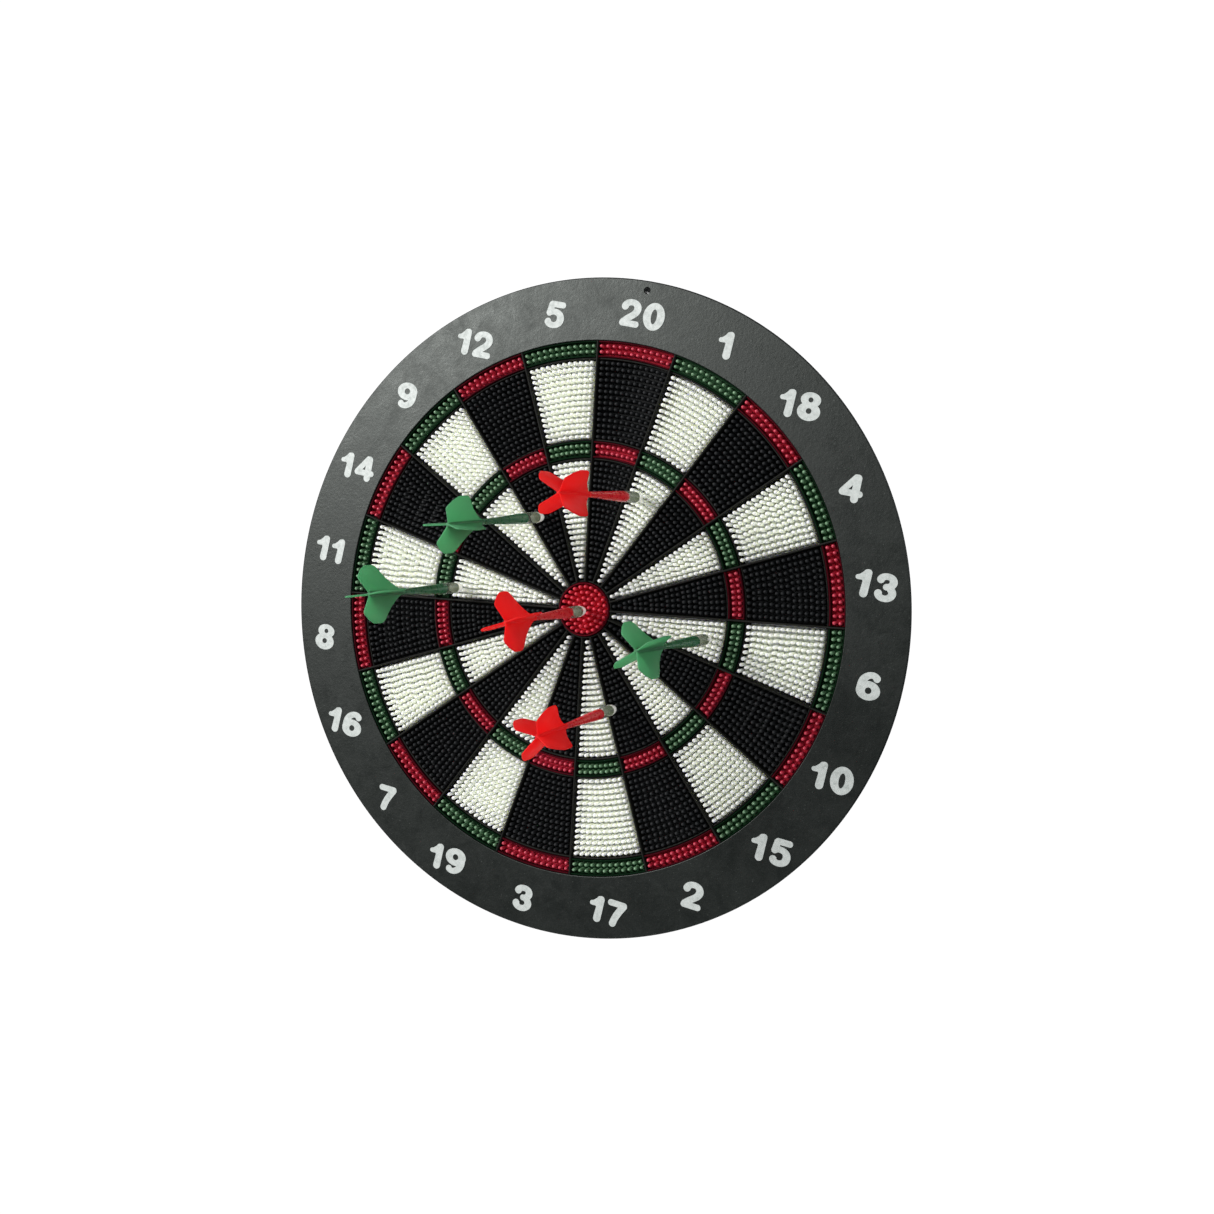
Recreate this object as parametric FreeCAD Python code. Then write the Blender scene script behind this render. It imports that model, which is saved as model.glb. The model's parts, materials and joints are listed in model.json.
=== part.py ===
import FreeCAD, Part
import math
import os

# Peg-face safety dartboard with six soft-tip darts. Millimetres.
# Row frame: +X right, +Z up (the 20 is at the top), the face looks towards -Y,
# the flat back lies on the wall plane Y = 0, origin at the board's centre on that plane.
# The board is drawn in a "board frame" (x right, y up, z out of the wall) and turned at the end.

# ---------------------------------------------------------------- driving dimensions
R_OUT = 208.35           # outside radius of the number ring (417 mm board)
T_BOARD = 18.0           # wall plane to the face of the number ring
RING_T = 5.5             # thickness of the number ring's plate
RING_IN = 169.1          # inside radius of the number ring
RING_EDGE = 0.9          # rounding of the ring's front outer edge
RING_DRAFT = 2.2         # how far the outer side wall runs in towards the back
WALL = 1.2               # thickness of the divider walls
WALL_TOP = 17.6          # top of the radial divider walls
ARC_WALL_TOP = 15.6      # top of the circular walls; the coloured rims stand a little above them
WALL_BOTTOM = 6.15       # underside of the divider walls
R_BULL_WALL = 17.9       # centre radii of the five circular walls
R_TREBLE_IN = 95.0
R_TREBLE_OUT = 106.9
R_DOUBLE_IN = 158.0
R_DOUBLE_OUT = 169.8
GRID_FLANGE_R = 177.5    # outside of the flange that the number ring traps
GRID_FLANGE_T = 3.0
PAD_FLANGE_Z0 = 4.5      # pad: retaining flange, upper plate, pegs
PAD_FLANGE_Z1 = 5.9
PAD_TOP = 7.5            # top of the plates of the single pads
SCORE_TOP = 12.6         # top of the raised plates of the treble and double pads
BULL_TOP = 9.7           # top of the bull pad's plate
RIM_T = 0.9              # coloured rims of the treble, double and bull pads, along the circular walls
RIM_TOP = 17.0
PAD_CLEAR = 0.25         # pad plate to wall
PAD_FLANGE_GAP = 0.2     # flange edge to wall centre line
PEG_R = 1.1
PEG_TOP = T_BOARD
COVER_R = 196.0
COVER_T = 2.5
COVER_SKIRT = 2.5
COVER_RIB_TOP = 4.3
SCREW_COUNT = 10
SCREW_PCR = 186.0        # pitch circle radius of the cover screws
BOSS_R = 4.0
PILOT_R = 1.25
SCREW_R = 1.2
SCREW_HEAD_R = 3.0
SCREW_HEAD_H = 1.3
HANG_HOLE_R = 2.25       # hanging hole through the ring's flange and the eye behind it
HANG_HOLE_RADIUS = 202.4
EYE_R = 4.4              # round eye behind the hanging hole
EYE_Z0 = 3.5
NUM_H = 17.1             # height of the printed numerals
NUM_T = 0.25             # thickness of the print layer
NUM_R = 188.0            # nominal radius of the numerals' centres
NUM_X, NUM_Y = 0.35, -0.2 # the whole print sits this far off centre

# rows of pegs: (radius, count, chord length from first to last peg)
INNER_ROWS = []
for i in range(21):
    r = 20.8 + 3.58 * i
    u = max(0.0, 2 * r * math.radians(9) - 6.2)
    INNER_ROWS.append((r, min(7, 1 + int(u / 3.2 + 0.5)), u))
OUTER_ROWS = []
for j in range(14):
    r = 109.0 + 3.56 * j
    u = 2 * r * math.radians(9) - 6.8
    OUTER_ROWS.append((r, 1 + int(u / 3.8 + 0.5), u))
TREBLE_ROWS = [(r, 8, 2 * r * math.radians(9) - 6.9) for r in (99.4, 103.2)]
DOUBLE_ROWS = [(r, 12, 2 * r * math.radians(9) - 5.6) for r in (162.1, 165.75)]
BULL_RINGS = [(3.6, 6), (7.2, 12), (10.8, 18), (14.4, 24)]

# numbers clockwise from the top: (number, offset of its centre in x and y, overall width)
NUMBERS = [
    (20, 0.0, -0.6, 29.6), (1, -1.0, -0.8, 9.9), (18, 0.45, -1.1, 26.5), (4, 0.5, -1.7, 15.0),
    (13, 0.4, -2.3, 26.2), (6, 0.0, -3.0, 14.7), (10, -0.55, -3.9, 26.8), (15, -0.9, -3.9, 26.3),
    (2, -1.4, -3.7, 13.8), (17, -1.6, -3.3, 25.3), (3, -1.6, -2.6, 13.6), (19, -1.7, -2.4, 26.7),
    (7, -1.7, -2.2, 13.8), (16, -1.7, -1.9, 26.6), (8, -1.7, -1.9, 14.4), (11, -1.4, -1.4, 21.7),
    (14, -1.2, -1.3, 26.6), (9, -0.9, -0.9, 14.4), (12, -0.6, -0.7, 25.8), (5, -0.6, -0.6, 13.5)]

# dart, measured along its own axis from the point (u = 0) to the tail
PIN_R = 0.65
U_NOSE = 10.0            # end of the thin pin
U_COLLAR = 19.5          # bullet-shaped nose to ribbed collar
U_BARREL = 34.5          # collar to barrel
U_FLIGHT = 88.1          # barrel to flight
U_HUB_END = 130.0        # end of the flight's hub
WING_T = 0.8
WING = [(1.0, 1.3), (6.0, 3.0), (11.5, 5.7), (17.0, 9.0), (21.0, 12.3), (24.8, 15.6), (28.0, 17.3),
        (31.0, 17.6), (38.5, 17.4), (44.0, 15.0), (48.7, 11.6), (49.3, 10.0), (42.0, 1.2)]
INSERT = 8.0             # usual depth of the pin below the board's face
# name: (x, y) where the axis meets the face, slopes dx/dz and dy/dz, roll of the wings, extra stand-off,
# how far each of the four soft wings is bent round from square (degrees)
DARTS = {
    "green_dart_1": (-39.73, 51.34, -0.025, -0.072, 85.7, -1.31, (-4.9, 16.5, 0.5, 6.2)),
    "green_dart_2": (-86.52, -5.01, 0.023, -0.017, 111.2, 0.03, (7.8, -2.3, -4.3, 0.2)),
    "green_dart_3": (86.82, 1.57, -0.006, -0.016, 130.1, 1.89, (0.6, 7.5, -0.7, -1.0)),
    "red_dart_1": (23.10, 76.56, -0.016, -0.019, 55.2, -1.45, (1.5, 2.7, -2.0, -1.6)),
    "red_dart_2": (2.19, -0.03, 0.035, -0.022, 118.9, 2.45, (-0.3, 1.7, -2.8, -0.4)),
    "red_dart_3": (34.04, -56.15, 0.025, -0.047, 75.0, -1.90, (6.8, 0.2, -5.7, 3.2)),
}

V = FreeCAD.Vector
Z = V(0, 0, 1)
os.makedirs("parts", exist_ok=True)


def to_row(shape):
    """Board frame (x right, y up, z out of the wall) to row frame (face towards -Y)."""
    s = shape.copy()
    s.rotate(V(0, 0, 0), V(1, 0, 0), 90)
    return s


def export(name, shape):
    if isinstance(shape, (list, tuple)):
        shape = Part.makeCompound([to_row(s) for s in shape])
    else:
        shape = to_row(shape)
    shape.exportStep("parts/%s.step" % name)
    vol = sum(s.Volume for s in shape.Solids)
    print("%-26s solids %3d  volume %10.1f mm3  valid %s" % (name, len(shape.Solids), vol, shape.isValid()))


def ring_solid(r0, r1, z0, z1):
    s = Part.makeCylinder(r1, z1 - z0, V(0, 0, z0))
    return s.cut(Part.makeCylinder(r0, z1 - z0 + 2, V(0, 0, z0 - 1))) if r0 > 0 else s


def clockwise(shape, degrees):
    s = shape.copy()
    s.rotate(V(0, 0, 0), Z, -degrees)
    return s


# ---------------------------------------------------------------- number ring
def number_ring():
    z1, z0 = T_BOARD, T_BOARD - RING_T
    e, b = RING_EDGE, 0.6
    k = math.sqrt(0.5)
    r0 = R_OUT - RING_DRAFT
    p = [V(RING_IN, 0, z0), V(RING_IN, 0, z1 - 0.5), V(RING_IN + 0.5, 0, z1), V(R_OUT - e, 0, z1),
         V(R_OUT - e + e * k, 0, z1 - e + e * k), V(R_OUT, 0, z1 - e), V(r0, 0, z0 + b),
         V(r0 - b + b * k, 0, z0 + b - b * k), V(r0 - b, 0, z0)]
    edges = [Part.LineSegment(p[0], p[1]).toShape(), Part.LineSegment(p[1], p[2]).toShape(),
             Part.LineSegment(p[2], p[3]).toShape(), Part.Arc(p[3], p[4], p[5]).toShape(),
             Part.LineSegment(p[5], p[6]).toShape(), Part.Arc(p[6], p[7], p[8]).toShape(),
             Part.LineSegment(p[8], p[0]).toShape()]
    body = Part.Face(Part.Wire(edges)).revolve(V(0, 0, 0), Z, 360)
    bosses, pilots = [], []
    for n in range(SCREW_COUNT):
        a = math.radians(18 + 360.0 / SCREW_COUNT * n)
        c = V(SCREW_PCR * math.sin(a), SCREW_PCR * math.cos(a), 0)
        bosses.append(Part.makeCylinder(BOSS_R, z0 + 0.5 - (COVER_T + 0.3), c + V(0, 0, COVER_T + 0.3)))
        pilots.append(Part.makeCylinder(PILOT_R, 10.5, c + V(0, 0, COVER_T)))
    bosses.append(Part.makeCylinder(EYE_R, z0 + 0.5 - EYE_Z0, V(0, HANG_HOLE_RADIUS, EYE_Z0)))
    body = body.multiFuse(bosses)
    body = body.cut(Part.makeCompound(pilots))
    hole = Part.makeCylinder(HANG_HOLE_R, T_BOARD - EYE_Z0 + 2, V(0, HANG_HOLE_RADIUS, EYE_Z0 - 1))
    return body.cut(hole).Solids[0]


# ---------------------------------------------------------------- divider grid
def divider_grid():
    h = WALL / 2
    z1 = T_BOARD - RING_T
    parts = [ring_solid(r - h, r + h, WALL_BOTTOM, ARC_WALL_TOP)
             for r in (R_BULL_WALL, R_TREBLE_IN, R_TREBLE_OUT, R_DOUBLE_IN)]
    # the outermost wall stops under the number ring, whose inner edge closes the double cells
    parts.append(ring_solid(R_DOUBLE_OUT - h, R_DOUBLE_OUT + h, WALL_BOTTOM, z1))
    parts.append(ring_solid(R_DOUBLE_OUT - h, GRID_FLANGE_R, z1 - GRID_FLANGE_T, z1))
    r_end = RING_IN - 0.2
    for k in range(20):
        w = Part.makeBox(WALL, r_end - R_BULL_WALL, WALL_TOP - WALL_BOTTOM, V(-h, R_BULL_WALL, WALL_BOTTOM))
        foot = Part.makeBox(WALL, R_DOUBLE_OUT - r_end + 0.1, z1 - WALL_BOTTOM, V(-h, r_end - 0.1, WALL_BOTTOM))
        parts += [clockwise(w, 9 + 18 * k), clockwise(foot, 9 + 18 * k)]
    return parts[0].multiFuse(parts[1:]).removeSplitter().Solids[0]


# ---------------------------------------------------------------- pads
def sector_prism(r0, r1, d, z0, z1):
    """Sector cell centred on +y between two radii, its sides parallel to and d inside the 9 degree lines."""
    def corner(r):
        a = math.radians(9) - math.asin(d / r)
        return V(r * math.sin(a), r * math.cos(a), z0)
    a0, a1 = corner(r0), corner(r1)
    b0, b1 = V(-a0.x, a0.y, z0), V(-a1.x, a1.y, z0)
    edges = [Part.LineSegment(a0, a1).toShape(), Part.Arc(a1, V(0, r1, z0), b1).toShape(),
             Part.LineSegment(b1, b0).toShape(), Part.Arc(b0, V(0, r0, z0), a0).toShape()]
    return Part.Face(Part.Wire(edges)).extrude(V(0, 0, z1 - z0))


def row_points(rows):
    pts = []
    for r, n, u in rows:
        for m in range(n):
            t = (m - (n - 1) / 2.0) * (u / (n - 1) if n > 1 else 0.0)
            pts.append((r * math.sin(t / r), r * math.cos(t / r)))
    return pts


def with_pegs(base, pts, top):
    pegs = [Part.makeCylinder(PEG_R, PEG_TOP - top + 0.8, V(x, y, top - 0.8)) for x, y in pts]
    return base.multiFuse(pegs).Solids[0]


def sector_pad(r_in, r_out, rows, top, rims):
    d = WALL / 2 + PAD_CLEAR
    up = sector_prism(r_in + d, r_out - d, d, PAD_FLANGE_Z1 - 0.4, top)
    fl = sector_prism(r_in + PAD_FLANGE_GAP, r_out - PAD_FLANGE_GAP, PAD_FLANGE_GAP, PAD_FLANGE_Z0, PAD_FLANGE_Z1)
    base = fl.fuse(up)
    if rims:
        base = base.multiFuse([sector_prism(r_in + d, r_in + d + RIM_T, d, top - 0.5, RIM_TOP),
                               sector_prism(r_out - d - RIM_T, r_out - d, d, top - 0.5, RIM_TOP)])
    return with_pegs(base, row_points(rows), top)


def bull_pad():
    d = WALL / 2 + PAD_CLEAR
    base = Part.makeCylinder(R_BULL_WALL - d, BULL_TOP - PAD_FLANGE_Z1 + 0.4, V(0, 0, PAD_FLANGE_Z1 - 0.4))
    base = base.fuse(Part.makeCylinder(R_BULL_WALL - PAD_FLANGE_GAP, PAD_FLANGE_Z1 - PAD_FLANGE_Z0, V(0, 0, PAD_FLANGE_Z0)))
    base = base.fuse(ring_solid(R_BULL_WALL - d - RIM_T, R_BULL_WALL - d, BULL_TOP - 0.5, RIM_TOP))
    pts = [(0.0, 0.0)]
    for q, (r, n) in enumerate(BULL_RINGS):
        for m in range(n):
            a = 2 * math.pi * m / n + (math.pi / n if q % 2 else 0.0)
            pts.append((r * math.sin(a), r * math.cos(a)))
    return with_pegs(base, pts, BULL_TOP)


# ---------------------------------------------------------------- back cover and screws
def screw_centres():
    out = []
    for n in range(SCREW_COUNT):
        a = math.radians(18 + 360.0 / SCREW_COUNT * n)
        out.append(V(SCREW_PCR * math.sin(a), SCREW_PCR * math.cos(a), 0))
    return out


def back_cover():
    body = Part.makeCylinder(COVER_R, COVER_T, V(0, 0, 0))
    body = body.makeChamfer(0.8, [e for e in body.Edges if abs(e.BoundBox.ZMax) < 1e-6 and abs(e.BoundBox.ZMin) < 1e-6])
    adds = [ring_solid(COVER_R - COVER_SKIRT, COVER_R, COVER_T - 0.5, T_BOARD - RING_T)]
    for r in (R_BULL_WALL, R_TREBLE_IN, R_TREBLE_OUT, R_DOUBLE_IN):
        adds.append(ring_solid(r - 2.5, r + 2.5, COVER_T - 0.5, COVER_RIB_TOP))
    adds.append(ring_solid(R_DOUBLE_OUT - 2.5, R_DOUBLE_OUT + 0.5, COVER_T - 0.5, COVER_RIB_TOP))
    adds.append(ring_solid(173.0, 176.0, COVER_T - 0.5, T_BOARD - RING_T - GRID_FLANGE_T))
    body = body.multiFuse(adds)
    cuts = []
    for c in screw_centres():
        cuts.append(Part.makeCylinder(1.6, COVER_T + 1, c - V(0, 0, 0.5)))
        cuts.append(Part.makeCylinder(SCREW_HEAD_R + 0.4, SCREW_HEAD_H + 0.2, c))
    return body.cut(Part.makeCompound(cuts)).Solids[0]


def screws():
    out = []
    for c in screw_centres():
        z = SCREW_HEAD_H + 0.2
        head = Part.makeCylinder(SCREW_HEAD_R, SCREW_HEAD_H, c + V(0, 0, z - SCREW_HEAD_H))
        head = head.makeFillet(0.6, [e for e in head.Edges if abs(e.BoundBox.ZMax - (z - SCREW_HEAD_H)) < 1e-6
                                     and e.BoundBox.ZLength < 1e-6])
        shank = Part.makeCylinder(SCREW_R, 9.0, c + V(0, 0, z - 0.2))
        tip = Part.makeCone(SCREW_R, 0.3, 1.6, c + V(0, 0, z + 8.8))
        s = head.fuse([shank, tip])
        slot1 = Part.makeBox(3.2, 0.7, 0.8, c + V(-1.6, -0.35, z - SCREW_HEAD_H))
        slot2 = Part.makeBox(0.7, 3.2, 0.8, c + V(-0.35, -1.6, z - SCREW_HEAD_H))
        out.append(s.cut(slot1.fuse(slot2)).Solids[0])
    return out


# ---------------------------------------------------------------- numerals
WV, WH = 2.45, 1.9       # half stroke widths: upright and level strokes


def disc(x, y, rx, ry):
    if abs(rx - ry) < 1e-9:
        e = Part.Circle(V(x, y, 0), Z, rx).toShape()
    elif rx > ry:
        e = Part.Ellipse(V(x, y, 0), rx, ry).toShape()
    else:
        e = Part.Ellipse(V(x, y, 0), ry, rx).toShape()
        e.rotate(V(x, y, 0), Z, 90)
    return Part.Face(Part.Wire([e])).extrude(V(0, 0, NUM_T))


def stroke(pts, widths=None):
    """Rounded stroke along points; its half width follows the direction like a broad pen's unless given."""
    P = [V(x, y, 0) for x, y in pts]
    if len(P) > 2:
        c = Part.BSplineCurve()
        c.interpolate(P)
        n = 10 * (len(P) - 1)
        t0, t1 = c.FirstParameter, c.LastParameter
        S = [c.value(t0 + (t1 - t0) * i / n) for i in range(n + 1)]
        D = [c.tangent(t0 + (t1 - t0) * i / n)[0] for i in range(n + 1)]
    else:
        n = 2
        S = [P[0] + (P[1] - P[0]) * (i / 2.0) for i in range(3)]
        d = P[1] - P[0]
        d.normalize()
        D = [d, d, d]
    L, R = [], []
    half = []
    for i, (s, d) in enumerate(zip(S, D)):
        if widths is None:
            w = math.hypot(WV * d.y, WH * d.x)
        else:
            f = i / float(n) * (len(widths) - 1)
            j = min(int(f), len(widths) - 2)
            w = widths[j] + (widths[j + 1] - widths[j]) * (f - j)
        half.append(w)
        nrm = V(-d.y, d.x, 0)
        L.append(s + nrm * w)
        R.append(s - nrm * w)
    step = 5 if n > 4 else 1
    idx = list(range(0, n + 1, step))

    def side(Q):
        Q = [Q[i] for i in idx]
        if n <= 4:
            return Part.LineSegment(Q[0], Q[-1]).toShape()
        b = Part.BSplineCurve()
        b.interpolate(Q)
        return b.toShape()
    e1 = side(L)
    cap2 = Part.Arc(L[-1], S[-1] + D[-1] * half[-1], R[-1]).toShape()
    e3 = side(R[::-1] if n > 4 else [R[-1], R[1], R[0]])
    cap4 = Part.Arc(R[0], S[0] - D[0] * half[0], L[0]).toShape()
    w = Part.Wire([e1, cap2, e3, cap4])
    return Part.Face(w).extrude(V(0, 0, NUM_T))


def glyph(ch):
    """Digit with its lower left corner at the origin; returns (solid, width)."""
    if ch == "0":
        return disc(7.15, 8.55, 7.15, 8.55).cut(disc(7.15, 8.55, 1.95, 4.6)), 14.3
    if ch == "1":
        s = stroke([(6.75, 2.5), (7.4, 14.8)], [2.5, 2.2])
        f = stroke([(1.55, 11.4), (4.2, 12.2), (6.6, 14.6)], [1.45, 2.1, 2.2])
        g = stroke([(5.6, 11.3), (7.0, 12.8)], [1.9, 2.4])
        return s.fuse([f, g]), 9.7
    if ch == "2":
        a = stroke([(2.3, 12.3), (4.1, 14.5), (6.9, 15.1), (9.7, 14.1), (10.95, 11.5), (9.9, 8.8), (7.0, 6.3),
                    (4.4, 4.2), (2.9, 2.5)])
        b = stroke([(2.2, 1.95), (11.5, 1.95)], [1.95, 1.95])
        c = stroke([(2.9, 2.5), (4.6, 3.4)], [2.4, 2.2])
        return a.fuse([b, c]), 13.6
    if ch == "3":
        a = stroke([(2.75, 12.85), (4.2, 14.5), (6.6, 15.1), (9.5, 14.2), (10.5, 12.1), (9.4, 9.9), (6.7, 8.9)])
        b = stroke([(6.7, 8.9), (9.7, 7.9), (11.0, 5.5), (9.6, 2.95), (6.6, 1.95), (3.9, 2.7), (2.75, 4.3)])
        return a.fuse(b), 13.6
    if ch == "4":
        a = stroke([(2.15, 6.0), (9.15, 15.1)], [1.85, 1.9])
        b = stroke([(2.15, 5.6), (12.9, 5.6)], [2.0, 1.95])
        c = stroke([(10.25, 2.4), (10.25, 14.7)], [2.38, 2.38])
        return a.fuse([b, c]), 15.0
    if ch == "5":
        a = stroke([(3.7, 15.1), (11.2, 15.1)], [1.92, 1.92])
        b = stroke([(3.6, 14.6), (2.8, 9.7)], [2.2, 2.05])
        c = stroke([(2.7, 9.4), (5.0, 10.35), (7.4, 10.25), (9.9, 8.9), (10.95, 6.3), (9.9, 3.4), (6.8, 1.95),
                    (4.2, 2.35), (2.75, 3.65)])
        return a.fuse([b, c]), 13.5
    if ch in "69":
        bowl = disc(7.35, 5.75, 7.35, 5.75)
        end = (11.2, 13.7) if ch == "6" else (10.7, 14.15)
        spine = stroke([(2.75, 5.2), (2.6, 8.6), (3.7, 12.4), (6.0, 14.5), (8.4, 15.15), end])
        s = bowl.fuse(spine).cut(disc(7.5, 5.75, 2.0, 1.95))
        if ch == "9":
            s.rotate(V(7.3, 8.55, 0), Z, 180)
        return s, 14.6
    if ch == "7":
        a = stroke([(2.3, 15.1), (11.4, 15.1)], [1.95, 1.95])
        b = stroke([(11.3, 14.7), (8.9, 10.6), (7.05, 6.4), (6.05, 2.45)], [2.2, 2.3, 2.3, 2.3])
        return a.fuse(b), 13.7
    if ch == "8":
        s = disc(7.2, 12.6, 6.3, 4.5).fuse(disc(7.2, 5.55, 7.2, 5.55))
        s = s.fuse(stroke([(7.2, 7.6), (7.2, 10.8)], [5.0, 4.6]))
        return s.cut(disc(7.2, 12.6, 1.55, 1.5).fuse(disc(7.2, 5.9, 1.75, 1.7))), 14.4
    raise ValueError(ch)


def numerals():
    out = []
    cache = {}
    for c in "0123456789":
        g, w = glyph(c)
        cache[c] = (g.removeSplitter().Solids[0], w)
    for k, (number, dx, dy, total) in enumerate(NUMBERS):
        a = math.radians(18 * k)
        cx, cy = NUM_R * math.sin(a) + dx + NUM_X, NUM_R * math.cos(a) + dy + NUM_Y
        text = str(number)
        width = sum(cache[c][1] for c in text)
        gap = (total - width) / (len(text) - 1) if len(text) > 1 else 0.0
        x = cx - (width + gap * (len(text) - 1)) / 2
        for c in text:
            g, w = cache[c]
            s = g.copy()
            s.translate(V(x, cy - NUM_H / 2, T_BOARD))
            out.append(s)
            x += w + gap
    return out


# ---------------------------------------------------------------- darts (drawn along +z from the point)
def revolve_profile(pts):
    """pts: (u, r) from front to back, all on the outside; closed through the axis."""
    P = [V(0, 0, pts[0][0])] + [V(r, 0, u) for u, r in pts] + [V(0, 0, pts[-1][0])]
    clean = [P[0]]
    for q in P[1:]:
        if (q - clean[-1]).Length > 1e-6:
            clean.append(q)
    return Part.Face(Part.makePolygon(clean + [clean[0]])).revolve(V(0, 0, 0), Z, 360)


def dart_tip():
    pts = [(0.0, 0.35), (0.3, PIN_R), (U_NOSE - 1.0, PIN_R), (U_NOSE, 0.8), (U_NOSE + 0.4, 1.5), (U_NOSE + 1.1, 2.1),
           (U_NOSE + 2.4, 2.65), (U_NOSE + 4.5, 3.1), (U_NOSE + 7.0, 3.4), (U_COLLAR - 0.4, 3.5), (U_COLLAR, 3.56)]
    n = 9
    pitch = (U_BARREL - 1.0 - (U_COLLAR + 0.8)) / n
    u = U_COLLAR + 0.8
    pts.append((u, 3.6))
    for i in range(n):
        pts += [(u + pitch * 0.62, 3.6), (u + pitch * 0.70, 3.3), (u + pitch * 0.92, 3.3), (u + pitch, 3.6)]
        u += pitch
    pts += [(U_BARREL - 0.3, 3.6), (U_BARREL, 3.3), (U_BARREL, 1.2), (U_BARREL + 5.2, 1.2), (U_BARREL + 5.5, 0.9)]
    return revolve_profile(pts)


def dart_barrel():
    pts = [(U_BARREL, 3.15), (U_BARREL + 0.4, 3.3), (U_BARREL + 4.3, 3.3), (U_BARREL + 16.3, 2.95),
           (U_BARREL + 29.3, 2.45), (U_BARREL + 41.3, 1.95), (U_FLIGHT - 1.5, 1.7), (U_FLIGHT, 1.65), (U_FLIGHT, 1.1), (U_FLIGHT + 18, 1.1),
           (U_FLIGHT + 18.4, 0.8)]
    s = revolve_profile(pts)
    return s.cut(Part.makeCylinder(1.22, 5.8, V(0, 0, U_BARREL))).Solids[0]


def dart_flight(bends):
    hub = Part.makeCylinder(1.7, U_HUB_END - U_FLIGHT - 0.6, V(0, 0, U_FLIGHT + 0.02))
    hub = hub.fuse(Part.makeCone(1.7, 1.2, 0.6, V(0, 0, U_HUB_END - 0.58)))
    wings = []
    for q in range(4):
        pts = [V(0.0, 0, U_FLIGHT + WING[0][0])] + [V(r, 0, U_FLIGHT + s) for s, r in WING] + \
              [V(0.0, 0, U_FLIGHT + WING[-1][0])]
        f = Part.Face(Part.makePolygon(pts + [pts[0]]))
        w = f.extrude(V(0, WING_T, 0))
        w.translate(V(0, -WING_T / 2, 0))
        w.rotate(V(0, 0, 0), Z, 90 * q + bends[q])
        wings.append(w)
    s = hub.multiFuse(wings)
    return s.cut(Part.makeCylinder(1.16, 19.0, V(0, 0, U_FLIGHT - 0.5))).Solids[0]


def place_dart(shape, spec):
    x, y, sx, sy, roll, extra = spec[:6]
    d = V(sx, sy, 1.0)
    d.normalize()
    e1 = V(1, 0, 0) - d * d.x
    e1.normalize()
    e2 = d.cross(e1)
    a = math.radians(roll)
    ex = e1 * math.cos(a) + e2 * math.sin(a)
    ey = d.cross(ex)
    o = V(x, y, T_BOARD) - d * (INSERT - extra)
    m = FreeCAD.Matrix(ex.x, ey.x, d.x, o.x, ex.y, ey.y, d.y, o.y, ex.z, ey.z, d.z, o.z, 0, 0, 0, 1)
    s = shape.copy()
    s.transformShape(m, True, False)
    return s


def main():
    export("number_ring", number_ring())
    export("numerals", numerals())
    export("divider_grid", divider_grid())
    for stem, rin, rout, rows, even, odd in (
            ("inner_single_pads", R_BULL_WALL, R_TREBLE_IN, INNER_ROWS, "black", "white"),
            ("treble_pads", R_TREBLE_IN, R_TREBLE_OUT, TREBLE_ROWS, "red", "green"),
            ("outer_single_pads", R_TREBLE_OUT, R_DOUBLE_IN, OUTER_ROWS, "black", "white"),
            ("double_pads", R_DOUBLE_IN, R_DOUBLE_OUT, DOUBLE_ROWS, "red", "green")):
        single = "single" in stem
        pad = sector_pad(rin, rout, rows, PAD_TOP if single else SCORE_TOP, not single)
        for colour, first in ((even, 0), (odd, 1)):
            if stem.startswith("outer"):
                export("%s_%s_right" % (stem, colour), [clockwise(pad, 18 * k) for k in range(first, 10, 2)])
                export("%s_%s_left" % (stem, colour), [clockwise(pad, 18 * k) for k in range(first + 10, 20, 2)])
            else:
                export("%s_%s" % (stem, colour), [clockwise(pad, 18 * k) for k in range(first, 20, 2)])
    export("bull_pad", bull_pad())
    export("back_cover", back_cover())
    export("cover_screws", screws())
    tip, barrel = dart_tip(), dart_barrel()
    for name, spec in DARTS.items():
        export(name + "_tip", place_dart(tip, spec))
        export(name + "_barrel", place_dart(barrel, spec))
        export(name + "_flight", place_dart(dart_flight(spec[6]), spec))


main()
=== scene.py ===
import json
import math
import random

import bmesh
import bpy
import numpy as np
from mathutils import Matrix, Vector

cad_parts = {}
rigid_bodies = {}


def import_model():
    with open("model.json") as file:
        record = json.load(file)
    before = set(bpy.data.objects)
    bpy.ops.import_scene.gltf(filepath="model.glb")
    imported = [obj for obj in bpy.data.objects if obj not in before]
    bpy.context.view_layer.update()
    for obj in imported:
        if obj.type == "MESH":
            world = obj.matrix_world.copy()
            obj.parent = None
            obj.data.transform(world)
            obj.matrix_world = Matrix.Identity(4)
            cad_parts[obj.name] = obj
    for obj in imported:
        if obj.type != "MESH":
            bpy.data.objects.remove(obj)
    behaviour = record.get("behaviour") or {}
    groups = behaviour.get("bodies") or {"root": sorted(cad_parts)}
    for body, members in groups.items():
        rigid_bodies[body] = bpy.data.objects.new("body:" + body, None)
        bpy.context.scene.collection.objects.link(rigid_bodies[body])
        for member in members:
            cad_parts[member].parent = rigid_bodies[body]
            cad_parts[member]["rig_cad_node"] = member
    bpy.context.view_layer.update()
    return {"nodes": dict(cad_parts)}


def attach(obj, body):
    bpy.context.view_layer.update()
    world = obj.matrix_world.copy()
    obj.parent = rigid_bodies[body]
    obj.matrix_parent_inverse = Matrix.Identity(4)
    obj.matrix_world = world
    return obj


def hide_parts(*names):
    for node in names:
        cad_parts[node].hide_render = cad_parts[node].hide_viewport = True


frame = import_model()
random.seed(7)
rng = np.random.default_rng(7)

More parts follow.
